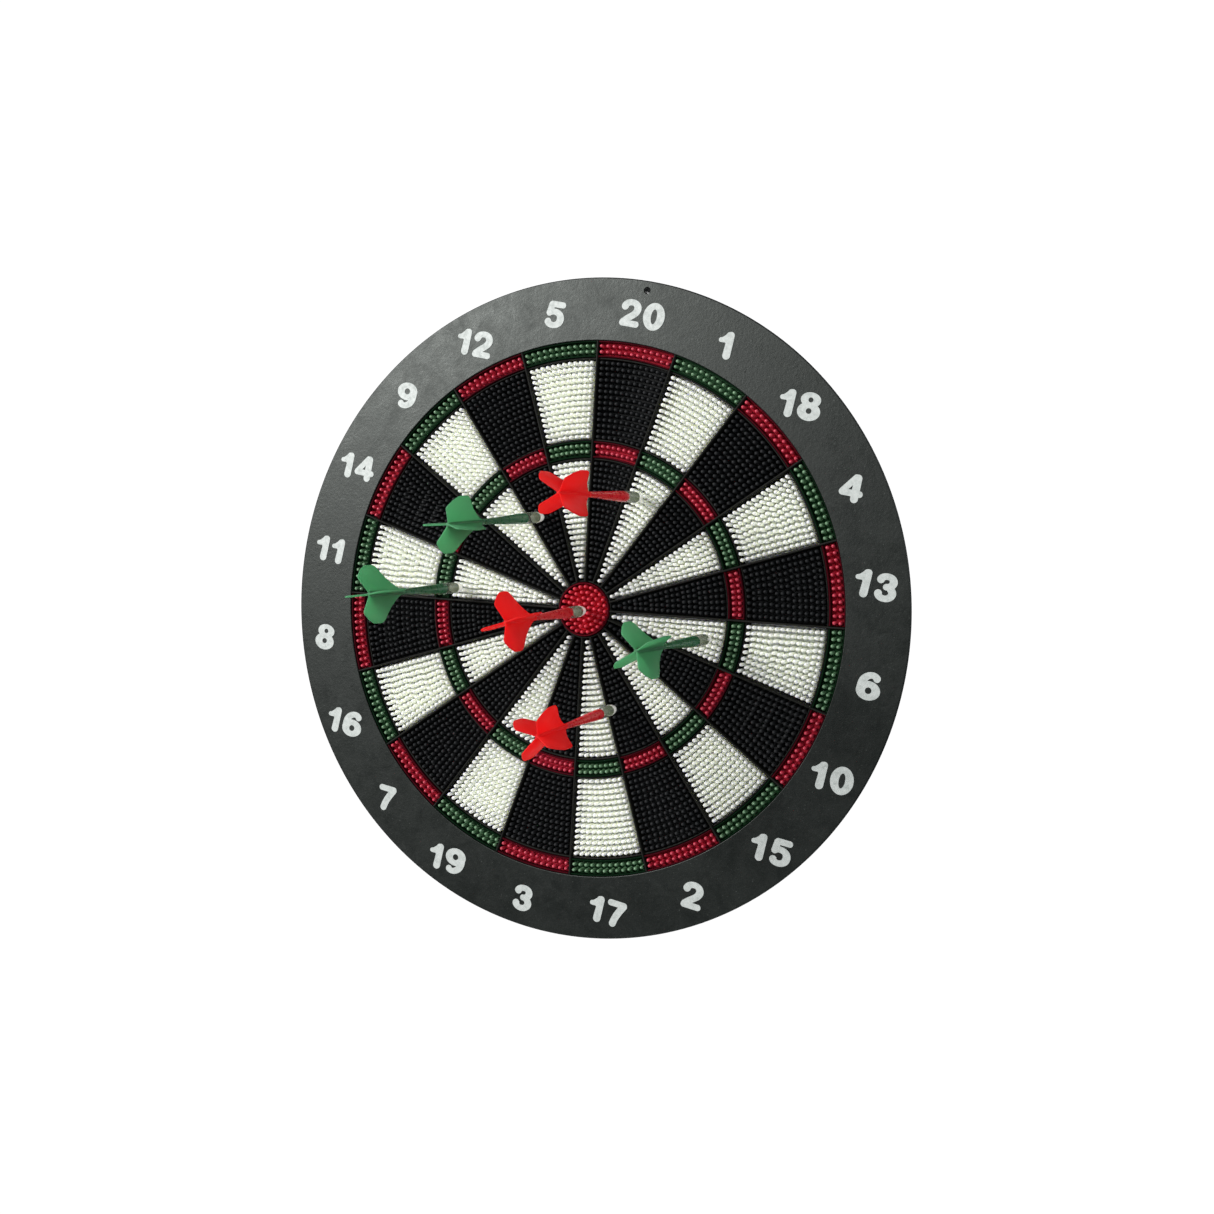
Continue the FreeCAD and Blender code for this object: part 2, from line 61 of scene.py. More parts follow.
MM = 0.001
T = 18.0                     # wall plane to the ring's face
WALL_TOP, ARC_WALL_TOP, WALL_BOTTOM = 17.6, 15.6, 6.15
RIM_T, RIM_TOP = 0.9, 17.0   # coloured rims of the treble, double and bull pads
RING_IN = 169.1
RADII = {"bull": 17.9, "treble_in": 95.0, "treble_out": 106.9, "double_in": 158.0, "double_out": 169.8}


# ------------------------------------------------------------------ mesh helpers
# Everything is drawn in the board frame (x right, y up, z out of the wall, mm) and turned into the row frame.
def to_row(co):
    co = np.asarray(co, float).reshape(-1, 3)
    return np.stack([co[:, 0], -co[:, 2], co[:, 1]], 1) * MM


def make(name, co, faces, smooth_angle=40.0, body="board", replaces=(), slot=None, mats=(), face_mats=None,
         smooth=None):
    mesh = bpy.data.meshes.new(name)
    mesh.from_pydata([tuple(p) for p in to_row(co)], [], faces)
    mesh.update()
    for m in mats:
        mesh.materials.append(m)
    if face_mats is not None:
        mesh.polygons.foreach_set("material_index", np.asarray(face_mats, np.int32))
    mesh.polygons.foreach_set("use_smooth", np.ones(len(mesh.polygons), bool))
    if smooth_angle is not None:
        mesh.set_sharp_from_angle(angle=math.radians(smooth_angle))
    mesh.update()
    o = bpy.data.objects.new(name, mesh)
    bpy.context.scene.collection.objects.link(o)
    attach(o, body)
    for n in replaces:
        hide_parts(n)
    return o


class Build:
    """Collects vertices and faces of one piece."""

    def __init__(self):
        self.co, self.faces, self.mat, self.n = [], [], [], 0

    def add(self, co, faces, mat=0):
        co = np.asarray(co, float).reshape(-1, 3)
        self.co.append(co)
        self.faces += [tuple(i + self.n for i in f) for f in faces]
        self.mat += [mat] * len(faces)
        self.n += len(co)

    def add_many(self, template, faces, places, mat=0):
        """The same template at many places; places is (count, nv, 3), already placed."""
        nv = len(template)
        base = np.asarray([list(f) + [-1] * (4 - len(f)) for f in faces])
        for i in range(len(places)):
            b = base + self.n + i * nv
            self.faces += [tuple(int(v) for v, k in zip(row, src) if k >= 0) for row, src in zip(b, base)]
        self.mat += [mat] * (len(faces) * len(places))
        self.co.append(places.reshape(-1, 3))
        self.n += nv * len(places)

    def done(self, name, **k):
        return make(name, np.concatenate(self.co), self.faces, face_mats=self.mat, **k)


def lathe(profile, segments, closed=False, tip_start=False, tip_end=False):
    """profile: [(r, z)...]; revolved about z. tip_*: the first or last point lies on the axis."""
    co, faces = [], []
    rings = []
    for i, (r, z) in enumerate(profile):
        if (i == 0 and tip_start) or (i == len(profile) - 1 and tip_end):
            rings.append([len(co)])
            co.append((0.0, 0.0, z))
        else:
            a = np.arange(segments) * 2 * math.pi / segments
            rings.append(list(range(len(co), len(co) + segments)))
            co += [(r * math.cos(t), r * math.sin(t), z) for t in a]
    pairs = list(zip(rings, rings[1:])) + ([(rings[-1], rings[0])] if closed else [])
    for a, b in pairs:
        for s in range(segments):
            t = (s + 1) % segments
            if len(a) == 1:
                faces.append((a[0], b[t], b[s]))
            elif len(b) == 1:
                faces.append((a[s], a[t], b[0]))
            else:
                faces.append((a[s], a[t], b[t], b[s]))
    return np.array(co), faces


# ------------------------------------------------------------------ materials
def node_material(name):
    m = bpy.data.materials.new(name)
    m.use_nodes = True
    nt = m.node_tree
    nt.nodes.clear()
    out = nt.nodes.new("ShaderNodeOutputMaterial")
    bsdf = nt.nodes.new("ShaderNodeBsdfPrincipled")
    nt.links.new(bsdf.outputs[0], out.inputs[0])
    tc = nt.nodes.new("ShaderNodeTexCoord")
    return m, nt, bsdf, out, tc.outputs["Object"]


def noise(nt, vec, scale, detail=4.0, rough=0.55, distortion=0.0):
    n = nt.nodes.new("ShaderNodeTexNoise")
    n.inputs["Scale"].default_value = scale
    n.inputs["Detail"].default_value = detail
    n.inputs["Roughness"].default_value = rough
    n.inputs["Distortion"].default_value = distortion
    nt.links.new(vec, n.inputs["Vector"])
    return n.outputs[0]


def ramp(nt, fac, stops):
    r = nt.nodes.new("ShaderNodeValToRGB")
    els = r.color_ramp.elements
    while len(els) > 1:
        els.remove(els[-1])
    els[0].position, els[0].color = stops[0][0], (*stops[0][1], 1)
    for p, c in stops[1:]:
        e = els.new(p)
        e.color = (*c, 1)
    nt.links.new(fac, r.inputs[0])
    return r.outputs[0]


def spread(nt, fac, lo, hi, out_lo, out_hi):
    m = nt.nodes.new("ShaderNodeMapRange")
    m.inputs["From Min"].default_value = lo
    m.inputs["From Max"].default_value = hi
    m.inputs["To Min"].default_value = out_lo
    m.inputs["To Max"].default_value = out_hi
    nt.links.new(fac, m.inputs["Value"])
    return m.outputs[0]


def bump(nt, bsdf, height, strength, distance, chain=None):
    b = nt.nodes.new("ShaderNodeBump")
    b.inputs["Strength"].default_value = strength
    b.inputs["Distance"].default_value = distance
    nt.links.new(height, b.inputs["Height"])
    if chain is not None:
        nt.links.new(chain, b.inputs["Normal"])
    nt.links.new(b.outputs[0], bsdf.inputs["Normal"])
    return b.outputs[0]


def plastic(name, dark, light, rough=(0.3, 0.45), scale=260.0, coat=0.0, spec=0.5, fine=0.00002, sub=0.0,
            sub_radius=(0.001, 0.001, 0.001), transmission=0.0, ior=1.49):
    m, nt, bsdf, out, vec = node_material(name)
    a = noise(nt, vec, scale, 3.0)
    nt.links.new(ramp(nt, a, [(0.32, dark), (0.68, light)]), bsdf.inputs["Base Color"])
    b = noise(nt, vec, scale * 2.3, 2.0)
    nt.links.new(spread(nt, b, 0.3, 0.7, rough[0], rough[1]), bsdf.inputs["Roughness"])
    c = noise(nt, vec, 2600.0, 2.0)
    bump(nt, bsdf, c, 0.35, fine)
    bsdf.inputs["IOR"].default_value = ior
    bsdf.inputs["Specular IOR Level"].default_value = spec
    if coat:
        bsdf.inputs["Coat Weight"].default_value = coat
        bsdf.inputs["Coat Roughness"].default_value = 0.12
    if sub:
        bsdf.inputs["Subsurface Weight"].default_value = sub
        bsdf.inputs["Subsurface Radius"].default_value = sub_radius
        bsdf.inputs["Subsurface Scale"].default_value = 1.0
    if transmission:
        bsdf.inputs["Transmission Weight"].default_value = transmission
    return m


def ring_plastic():
    """Dull grey moulded ring: cloudy gloss, fine grain, faint rubbed marks and specks."""
    m, nt, bsdf, out, vec = node_material("ring_moulded_grey")
    cloud = noise(nt, vec, 22.0, 5.0, 0.6, 0.3)
    tone = ramp(nt, cloud, [(0.30, (0.0034, 0.0046, 0.0042)), (0.55, (0.0048, 0.0062, 0.0056)),
                            (0.75, (0.0066, 0.0084, 0.0076))])
    scuff = noise(nt, vec, 140.0, 6.0, 0.7, 1.2)
    marks = spread(nt, scuff, 0.58, 0.74, 0.0, 0.34)
    mix = nt.nodes.new("ShaderNodeMix")
    mix.data_type = "RGBA"
    nt.links.new(marks, mix.inputs["Factor"])
    nt.links.new(tone, mix.inputs["A"])
    mix.inputs["B"].default_value = (0.030, 0.034, 0.032, 1)
    speck = spread(nt, noise(nt, vec, 820.0, 3.0, 0.6), 0.66, 0.75, 0.0, 0.60)
    mix2 = nt.nodes.new("ShaderNodeMix")
    mix2.data_type = "RGBA"
    nt.links.new(speck, mix2.inputs["Factor"])
    nt.links.new(mix.outputs["Result"], mix2.inputs["A"])
    mix2.inputs["B"].default_value = (0.075, 0.080, 0.076, 1)
    nt.links.new(mix2.outputs["Result"], bsdf.inputs["Base Color"])
    wear = noise(nt, vec, 60.0, 10.0, 0.82, 0.5)
    nt.links.new(spread(nt, wear, 0.36, 0.64, 0.325, 0.485), bsdf.inputs["Roughness"])
    grain = noise(nt, vec, 520.0, 5.0, 0.7)
    g = bump(nt, bsdf, grain, 0.85, 0.00012)
    bump(nt, bsdf, cloud, 0.15, 0.0005, g)
    bsdf.inputs["Specular IOR Level"].default_value = 0.36
    bsdf.inputs["Specular Tint"].default_value = (0.94, 1.0, 0.96, 1)
    return m


def ink():
    m, nt, bsdf, out, vec = node_material("numeral_print")
    a = noise(nt, vec, 420.0, 5.0, 0.65)
    nt.links.new(ramp(nt, a, [(0.28, (0.35, 0.38, 0.365)), (0.5, (0.465, 0.495, 0.48)), (0.7, (0.525, 0.555, 0.54))]),
                 bsdf.inputs["Base Color"])
    nt.links.new(spread(nt, a, 0.3, 0.7, 0.62, 0.45), bsdf.inputs["Roughness"])
    bump(nt, bsdf, noise(nt, vec, 1500.0, 3.0), 0.4, 0.00003)
    return m


def screw_metal():
    m, nt, bsdf, out, vec = node_material("zinc_screws")
    a = noise(nt, vec, 500.0, 4.0)
    nt.links.new(ramp(nt, a, [(0.3, (0.42, 0.42, 0.43)), (0.7, (0.62, 0.61, 0.60))]), bsdf.inputs["Base Color"])
    nt.links.new(spread(nt, a, 0.3, 0.7, 0.25, 0.42), bsdf.inputs["Roughness"])
    bsdf.inputs["Metallic"].default_value = 1.0
    bump(nt, bsdf, noise(nt, vec, 1800.0, 2.0), 0.3, 0.00002)
    return m


M_RING = ring_plastic()
M_RING_SIDE = plastic("ring_side_grey", (0.0080, 0.0098, 0.0090), (0.0125, 0.0150, 0.0138), rough=(0.80, 0.92),
                      scale=120.0, spec=0.04)
M_INK = ink()
M_GRID = plastic("grid_dark", (0.0045, 0.0047, 0.0038), (0.0085, 0.0085, 0.0068), rough=(0.62, 0.78), scale=180.0,
                 spec=0.18)
M_BLACK = plastic("pegs_black", (0.0160, 0.0168, 0.0182), (0.0215, 0.0224, 0.0240), rough=(0.50, 0.62), scale=300.0,
                  spec=0.16)
# plate: the black peg plastic painted lighter, painted light lifting the shade between the pegs
M_BLACK_PLATE_LIFTED = plastic("plate_black_painted_light", (0.028, 0.0295, 0.031), (0.038, 0.0395, 0.041), rough=(0.62, 0.78), scale=200.0,
                        spec=0.20)
M_WHITE = plastic("pegs_white", (0.895, 0.915, 0.840), (0.938, 0.955, 0.890), rough=(0.42, 0.54), scale=300.0, sub=0.85,
                  sub_radius=(0.0060, 0.0060, 0.0046), spec=0.10)
M_RED = plastic("pegs_red", (0.44, 0.022, 0.050), (0.56, 0.040, 0.075), rough=(0.28, 0.40), scale=300.0, spec=0.7)
# plate: the red peg plastic painted darker, a painted shade between the pegs
M_RED_PLATE_SHADED = plastic("plate_red_painted_shade", (0.23, 0.0028, 0.012), (0.31, 0.0045, 0.018), rough=(0.62, 0.78), scale=200.0,
                      spec=0.12)
# rim: the red pad plastic painted much darker, a painted shade along the cell edges
M_RED_RIM_SHADED = plastic("rim_red_painted_shade", (0.035, 0.0012, 0.004), (0.055, 0.002, 0.006), rough=(0.70, 0.85), scale=200.0,
                    spec=0.05)
M_GREEN = plastic("pegs_green", (0.090, 0.192, 0.098), (0.150, 0.275, 0.152), rough=(0.27, 0.38), scale=300.0,
                  spec=0.85)
# plate: the green peg plastic painted far darker, a painted shade between the pegs
M_GREEN_PLATE_SHADED = plastic("plate_green_painted_shade", (0.0040, 0.029, 0.0080), (0.0050, 0.036, 0.0092), rough=(0.62, 0.78),
                        scale=200.0, spec=0.12)
# rim: the green pad plastic painted much darker, a painted shade along the cell edges
M_GREEN_RIM_SHADED = plastic("rim_green_painted_shade", (0.0014, 0.009, 0.003), (0.002, 0.013, 0.0045), rough=(0.70, 0.85), scale=200.0,
                      spec=0.05)
M_BULL = plastic("pegs_bull_red", (0.54, 0.018, 0.040), (0.64, 0.032, 0.060), rough=(0.36, 0.48), scale=300.0,
                 spec=0.5)
M_BULL_PLATE = plastic("plate_bull_red", (0.50, 0.004, 0.014), (0.60, 0.006, 0.020), rough=(0.62, 0.78), scale=200.0,
                       spec=0.12)
# rim: the bull plastic painted much darker, a painted shade around the bull
M_BULL_RIM_SHADED = plastic("rim_bull_red_painted_shade", (0.06, 0.0014, 0.005), (0.09, 0.0022, 0.007), rough=(0.70, 0.85), scale=200.0,
                     spec=0.05)
M_COVER = plastic("cover_black", (0.014, 0.014, 0.015), (0.024, 0.024, 0.025), rough=(0.45, 0.62), scale=90.0,
                  fine=0.00005)
M_SCREW = screw_metal()


def flight_plastic(name, dark, light, glow, painted_glow=(0, 0, 0)):
    """Thin moulded wings: satin, light passes through them, and the red ones carry a painted glow, an even emission."""
    m, nt, bsdf, out, vec = node_material(name)
    a = noise(nt, vec, 120.0, 4.0, 0.6)
    col = ramp(nt, a, [(0.3, dark), (0.7, light)])
    nt.links.new(col, bsdf.inputs["Base Color"])
    nt.links.new(spread(nt, noise(nt, vec, 300.0, 3.0), 0.3, 0.7, 0.34, 0.48), bsdf.inputs["Roughness"])
    bump(nt, bsdf, noise(nt, vec, 900.0, 3.0), 0.25, 0.00003)
    # painted glow: a constant emission that lightens the wing whatever the lamps do
    if any(painted_glow):
        bsdf.inputs["Emission Color"].default_value = (*painted_glow, 1)
        bsdf.inputs["Emission Strength"].default_value = 0.31
    tr = nt.nodes.new("ShaderNodeBsdfTranslucent")
    tr.inputs["Color"].default_value = (*glow, 1)
    mix = nt.nodes.new("ShaderNodeMixShader")
    mix.inputs[0].default_value = 0.62
    nt.links.new(bsdf.outputs[0], mix.inputs[1])
    nt.links.new(tr.outputs[0], mix.inputs[2])
    nt.links.new(mix.outputs[0], out.inputs[0])
    return m


def barrel_plastic(name, dark, light, radius):
    """Tinted plastic that light sinks into a little."""
    m, nt, bsdf, out, vec = node_material(name)
    a = noise(nt, vec, 160.0, 3.0)
    nt.links.new(ramp(nt, a, [(0.3, dark), (0.7, light)]), bsdf.inputs["Base Color"])
    nt.links.new(spread(nt, noise(nt, vec, 420.0, 3.0), 0.3, 0.7, 0.24, 0.34), bsdf.inputs["Roughness"])
    bump(nt, bsdf, noise(nt, vec, 500.0, 2.0), 0.12, 0.00002)
    bsdf.inputs["Subsurface Weight"].default_value = 0.35
    bsdf.inputs["Subsurface Radius"].default_value = radius
    bsdf.inputs["Subsurface Scale"].default_value = 1.0
    bsdf.inputs["Specular IOR Level"].default_value = 0.35
    bsdf.inputs["IOR"].default_value = 1.46
    return m


def clear_plastic(name, dark, light, alpha, rough, glow=0.0, coat=1.0):
    """Clear plastic with a haze in it and sharp glints; glow adds a painted glow, an emission that stands for the light
    that gathers in a clear end.
    """
    m, nt, bsdf, out, vec = node_material(name)
    a = noise(nt, vec, 400.0, 4.0)
    nt.links.new(ramp(nt, a, [(0.3, dark), (0.7, light)]), bsdf.inputs["Base Color"])
    nt.links.new(spread(nt, a, 0.3, 0.7, rough[0], rough[1]), bsdf.inputs["Roughness"])
    bump(nt, bsdf, noise(nt, vec, 1500.0, 2.0), 0.12, 0.00002)
    bsdf.inputs["Alpha"].default_value = alpha
    # painted glow: constant emission, not light from the lamps
    if glow > 0:
        bsdf.inputs["Emission Color"].default_value = (1.0, 0.985, 0.95, 1)
        bsdf.inputs["Emission Strength"].default_value = glow
    bsdf.inputs["Coat Weight"].default_value = coat
    bsdf.inputs["Coat Roughness"].default_value = 0.07
    bsdf.inputs["IOR"].default_value = 1.5
    return m


M_CLEAR = clear_plastic("tip_clear_collar", (0.080, 0.098, 0.066), (0.130, 0.150, 0.110), 0.33, (0.16, 0.26))
# the nose skin is frosted plastic with a painted glow (emission 0.27)
M_NOSE_PAINTED_GLOW = clear_plastic("tip_frosted_nose_painted_glow", (0.80, 0.79, 0.76), (0.90, 0.89, 0.86), 0.92, (0.22, 0.36), glow=0.27)
# the solid plastic inside the nose, the same on all six tips
M_CORE = clear_plastic("tip_core", (0.56, 0.60, 0.49), (0.74, 0.78, 0.66), 1.0, (0.3, 0.45), coat=0.0)
# the red flights get a painted glow (emission) on top of their dye colour
M_FLIGHT = {"red": flight_plastic("flight_red_painted_glow", (0.76, 0.028, 0.026), (0.82, 0.040, 0.036), (0.82, 0.05, 0.042),
                                  painted_glow=(0.95, 0.014, 0.022)),
            "green": flight_plastic("flight_green", (0.165, 0.420, 0.245), (0.195, 0.475, 0.285), (0.26, 0.64, 0.37))}
M_BARREL = {"red": barrel_plastic("barrel_red", (0.76, 0.014, 0.022), (0.86, 0.026, 0.036), (0.004, 0.0006, 0.0008)),
            "green": barrel_plastic("barrel_green", (0.034, 0.150, 0.066), (0.050, 0.185, 0.086),
                                    (0.001, 0.003, 0.0015))}

# ------------------------------------------------------------------ peg pads
INNER, OUTER = [], []
for i in range(21):
    r = 20.8 + 3.58 * i
    u = max(0.0, 2 * r * math.radians(9) - 6.2)
    INNER.append((r, min(7, 1 + int(u / 3.2 + 0.5)), u))
for j in range(14):
    r = 109.0 + 3.56 * j
    u = 2 * r * math.radians(9) - 6.8
    OUTER.append((r, 1 + int(u / 3.8 + 0.5), u))
TREBLE = [(r, 8, 2 * r * math.radians(9) - 6.9) for r in (99.4, 103.2)]
DOUBLE = [(r, 12, 2 * r * math.radians(9) - 5.6) for r in (162.1, 165.75)]
BULL = [(3.6, 6), (7.2, 12), (10.8, 18), (14.4, 24)]

PEG_R, PEG_TOP = 1.16, 18.0
PLATE, SCORE_PLATE, BULL_PLATE = 7.5, 12.6, 9.7      # tops of the plates: single, treble and double, bull


def peg_template(base, sides=10):
    prof = [(PEG_R + 0.36, base - 0.1), (PEG_R + 0.10, base + 0.3), (PEG_R, base + 0.9), (PEG_R * 0.985, 16.75),
            (PEG_R * 0.86, 17.36), (PEG_R * 0.52, 17.82), (0, PEG_TOP)]
    return lathe(prof, sides, tip_end=True)


def placed_pegs(points, base):
    """Each peg leans, turns and stands a hair differently, as moulded pegs do."""
    PEG_CO, PEG_BASE = peg_template(base)[0], base - 0.1
    points = np.asarray(points, float)
    n = len(points)
    spin = rng.uniform(0, 2 * math.pi, n)
    lean = rng.normal(0, 0.0085, (n, 2))
    grow = rng.normal(1.0, 0.012, n)
    tall = rng.uniform(-0.16, 0.0, n)
    c, s = np.cos(spin), np.sin(spin)
    x = PEG_CO[None, :, 0] * c[:, None] - PEG_CO[None, :, 1] * s[:, None]
    y = PEG_CO[None, :, 0] * s[:, None] + PEG_CO[None, :, 1] * c[:, None]
    h = (PEG_CO[None, :, 2] - PEG_BASE)
    z = PEG_BASE + h * (1 + tall[:, None] / (PEG_TOP - PEG_BASE))
    X = points[:, 0:1] + x * grow[:, None] + lean[:, 0:1] * h
    Y = points[:, 1:2] + y * grow[:, None] + lean[:, 1:2] * h
    return np.stack([X, Y, z], 2)


def row_points(rows, k):
    pts = []
    for r, n, u in rows:
        for m in range(n):
            t = (m - (n - 1) / 2.0) * (u / (n - 1) if n > 1 else 0.0)
            th = math.radians(18 * k) + t / r
            pts.append((r * math.sin(th), r * math.cos(th)))
    return pts


def cell_outline(r0, r1, d, k, steps=14):
    """Outline of a sector cell whose sides run d inside the 9 degree lines."""
    a0 = math.radians(9) - math.asin(d / r0)
    a1 = math.radians(9) - math.asin(d / r1)
    mid = math.radians(18 * k)
    out = []
    for i in range(steps + 1):
        a = mid + a1 - 2 * a1 * i / steps
        out.append((r1 * math.sin(a), r1 * math.cos(a)))
    for i in range(steps + 1):
        a = mid - a0 + 2 * a0 * i / steps
        out.append((r0 * math.sin(a), r0 * math.cos(a)))
    return out


def stack(b, loops, mat=0):
    """Closed solid through outlines of equal length: [(outline, z)...], bottom to top."""
    n = len(loops[0][0])
    co, faces = [], []
    for outline, z in loops:
        co += [(x, y, z) for x, y in outline]
    for i in range(len(loops) - 1):
        for s in range(n):
            t = (s + 1) % n
            faces.append((i * n + s, i * n + t, (i + 1) * n + t, (i + 1) * n + s))
    faces.append(tuple(range((len(loops) - 1) * n, len(loops) * n)))
    faces.append(tuple(range(n - 1, -1, -1)))
    b.add(co, faces, mat)


def pad_piece(name, r_in, r_out, rows, ks, mats, node, slot):
    b = Build()
    single = "single" in name
    top = PLATE if single else SCORE_PLATE
    peg_co, peg_faces = peg_template(top)
    for k in ks:
        f = [cell_outline(r_in + 0.2, r_out - 0.2, 0.2, k), cell_outline(r_in + 0.85, r_out - 0.85, 0.85, k),
             cell_outline(r_in + 1.0, r_out - 1.0, 1.0, k)]
        # plate, material 1: for red and green pads the peg plastic in painted shade, for black pads painted lighter
        # (painted light); white pads keep one material
        stack(b, [(f[0], 4.5), (f[0], 5.9), (f[1], 5.9), (f[1], top - 0.15), (f[2], top)], 1)
        if not single:
            # rims, material 2: the pad plastic in painted shade
            for lo, hi in ((r_in + 0.85, r_in + 0.85 + RIM_T), (r_out - 0.85 - RIM_T, r_out - 0.85)):
                e = [cell_outline(lo, hi, 0.85, k), cell_outline(lo + 0.22, hi - 0.22, 1.05, k)]
                stack(b, [(e[0], top - 0.6), (e[0], RIM_TOP - 0.25), (e[1], RIM_TOP)], 2)
        pts = row_points(rows, k)
        b.add_many(peg_co, peg_faces, placed_pegs(pts, top), 0)
    nodes = [node + "_right", node + "_left"] if node.startswith("outer") else [node]
    return b.done(name, mats=mats, replaces=nodes, slot=slot)


EVEN, ODD = range(0, 20, 2), range(1, 20, 2)
R = RADII
for ring, lo, hi, rows in (("inner_single", "bull", "treble_in", INNER), ("treble", "treble_in", "treble_out", TREBLE),
                           ("outer_single", "treble_out", "double_in", OUTER),
                           ("double", "double_in", "double_out", DOUBLE)):
    pair = (("black", EVEN, [M_BLACK, M_BLACK_PLATE_LIFTED]), ("white", ODD, [M_WHITE, M_WHITE])) if "single" in ring else \
        (("red", EVEN, [M_RED, M_RED_PLATE_SHADED, M_RED_RIM_SHADED]), ("green", ODD, [M_GREEN, M_GREEN_PLATE_SHADED, M_GREEN_RIM_SHADED]))
    for colour, ks, mats in pair:
        pad_piece("%s_pegs_%s" % (ring, colour), R[lo], R[hi], rows, ks, mats, "%s_pads_%s" % (ring, colour),
                  colour + "_pad")

b = Build()
RB = RADII["bull"] - 0.85
co, faces = lathe([(0, 4.5), (RB + 0.65, 4.5), (RB + 0.65, 5.9), (RB, 5.9), (RB, RIM_TOP - 0.25),
                   (RB - 0.22, RIM_TOP), (RB - RIM_T + 0.22, RIM_TOP), (RB - RIM_T, RIM_TOP - 0.25),
                   (RB - RIM_T, BULL_PLATE), (0, BULL_PLATE)], 96, tip_start=True, tip_end=True)
b.add(co, faces, 1)
# bands 3 to 7 of the lathe form the rim, material 2: the bull plastic in painted shade
b.mat = [2 if 3 <= i // 96 <= 7 else 1 for i in range(len(faces))]
pts = [(0.0, 0.0)]
for q, (r, n) in enumerate(BULL):
    for m in range(n):
        a = 2 * math.pi * m / n + (math.pi / n if q % 2 else 0.0)
        pts.append((r * math.sin(a), r * math.cos(a)))
peg_co, peg_faces = peg_template(BULL_PLATE)
b.add_many(peg_co, peg_faces, placed_pegs(pts, BULL_PLATE), 0)
b.done("bull_pegs", mats=[M_BULL, M_BULL_PLATE, M_BULL_RIM_SHADED], replaces=["bull_pad"], slot="red_pad")

# ------------------------------------------------------------------ divider grid with rounded wall tops
b = Build()


def wall_profile(top):
    """Half width 0.6 wall with a rounded top, as (offset, z)."""
    return [(-0.6, WALL_BOTTOM), (-0.58, top - 0.55), (-0.50, top - 0.24), (-0.28, top - 0.05), (0.0, top),
            (0.28, top - 0.05), (0.50, top - 0.24), (0.58, top - 0.55), (0.6, WALL_BOTTOM)]


for key, r in RADII.items():
    prof = [(r + dx, z) for dx, z in wall_profile(ARC_WALL_TOP)]
    if key == "double_out":
        # this one stops under the number ring, whose inner edge closes the cells
        prof = [(r - 0.6, WALL_BOTTOM), (r - 0.6, 12.5), (177.5, 12.5), (177.5, 9.5), (r + 0.6, 9.5),
                (r + 0.6, WALL_BOTTOM)]
    co, faces = lathe(prof, 240 if r > 50 else 96, closed=True)
    b.add(co, faces)
for k in range(20):
    a = math.radians(9 + 18 * k)
    er, et = np.array([math.sin(a), math.cos(a), 0]), np.array([math.cos(a), -math.sin(a), 0])
    prof = wall_profile(WALL_TOP - 0.03)
    n = len(prof)
    co = []
    for r in (RADII["bull"] + 0.1, RING_IN - 0.2):
        co += [er * r + et * dx + np.array([0, 0, z]) for dx, z in prof]
    faces = [(i, i + 1, n + i + 1, n + i) for i in range(n - 1)] + [(n - 1, 0, n, 2 * n - 1)]
    faces += [tuple(range(n - 1, -1, -1)), tuple(range(n, 2 * n))]
    b.add(co, faces)
b.done("divider_walls", mats=[M_GRID], replaces=["divider_grid"], slot="grid_plastic")

# ------------------------------------------------------------------ number ring
z1, z0, RO, RI, E, F = T, T - 5.5, 208.35, RING_IN, 0.9, 0.45
prof = [(RI, z0), (RI, z1 - F - 0.08), (RI, z1 - F)]
prof += [(RI + F - F * math.cos(t), z1 - F + F * math.sin(t)) for t in np.linspace(0, math.pi / 2, 5)[1:]]
prof += [(RI + F + 0.08, z1)]
prof += [(r, z1) for r in np.linspace(RI + 6, RO - E - 6, 4)]
prof += [(RO - E - 0.08, z1)]
prof += [(RO - E + E * math.sin(t), z1 - E + E * math.cos(t)) for t in np.linspace(0, math.pi / 2, 8)]
prof += [(RO - 0.06, z1 - E - 0.12), (RO - 2.14, z0 + 0.72)]
prof += [(RO - 2.8 + 0.6 * math.cos(t), z0 + 0.6 - 0.6 * math.sin(t)) for t in np.linspace(0, math.pi / 2, 5)]
co, faces = lathe(prof, 288, closed=True)
ring = make("number_ring_moulding", co, faces, mats=[M_RING], replaces=["number_ring"], slot="ring_grey",
            smooth_angle=35)


def cut_hole(obj, x, y, r, zlo, zhi):
    co, faces = lathe([(0, zlo), (r, zlo), (r, zhi), (0, zhi)], 40, tip_start=True, tip_end=True)
    co[:, 0] += x
    co[:, 1] += y
    m = bpy.data.meshes.new("cutter")
    m.from_pydata([tuple(p) for p in to_row(co)], [], faces)
    c = bpy.data.objects.new("cutter", m)
    bpy.context.scene.collection.objects.link(c)
    mod = obj.modifiers.new("cut", "BOOLEAN")
    mod.operation, mod.solver, mod.object = "DIFFERENCE", "EXACT", c
    dg = bpy.context.evaluated_depsgraph_get()
    new = bpy.data.meshes.new_from_object(obj.evaluated_get(dg))
    obj.modifiers.remove(mod)
    obj.data = new
    bpy.data.objects.remove(c)
    bpy.data.meshes.remove(m)


cut_hole(ring, 0.0, 202.4, 2.25, z0 - 2, z1 + 2)
# the round eye behind the hanging hole
co, faces = lathe([(2.25, z0 + 0.4), (2.25, 3.7), (2.4, 3.5), (4.2, 3.5), (4.4, 3.7), (4.4, z0 + 0.4)], 40, closed=True)
co[:, 1] += 202.4
eye = make("eye", co, faces, mats=[M_RING])
bm = bmesh.new()
bm.from_mesh(ring.data)
bm.from_mesh(eye.data)
bm.to_mesh(ring.data)
bm.free()
bpy.data.objects.remove(eye)
# the side and the back lip, which the mould leaves duller than the face
ring.data.materials.append(M_RING_SIDE)
for poly in ring.data.polygons:
    c = poly.center
    if math.hypot(c.x, c.z) * 1000 > RO - 3.2 and -c.y * 1000 < z1 - E - 0.05:
        poly.material_index = len(ring.data.materials) - 1

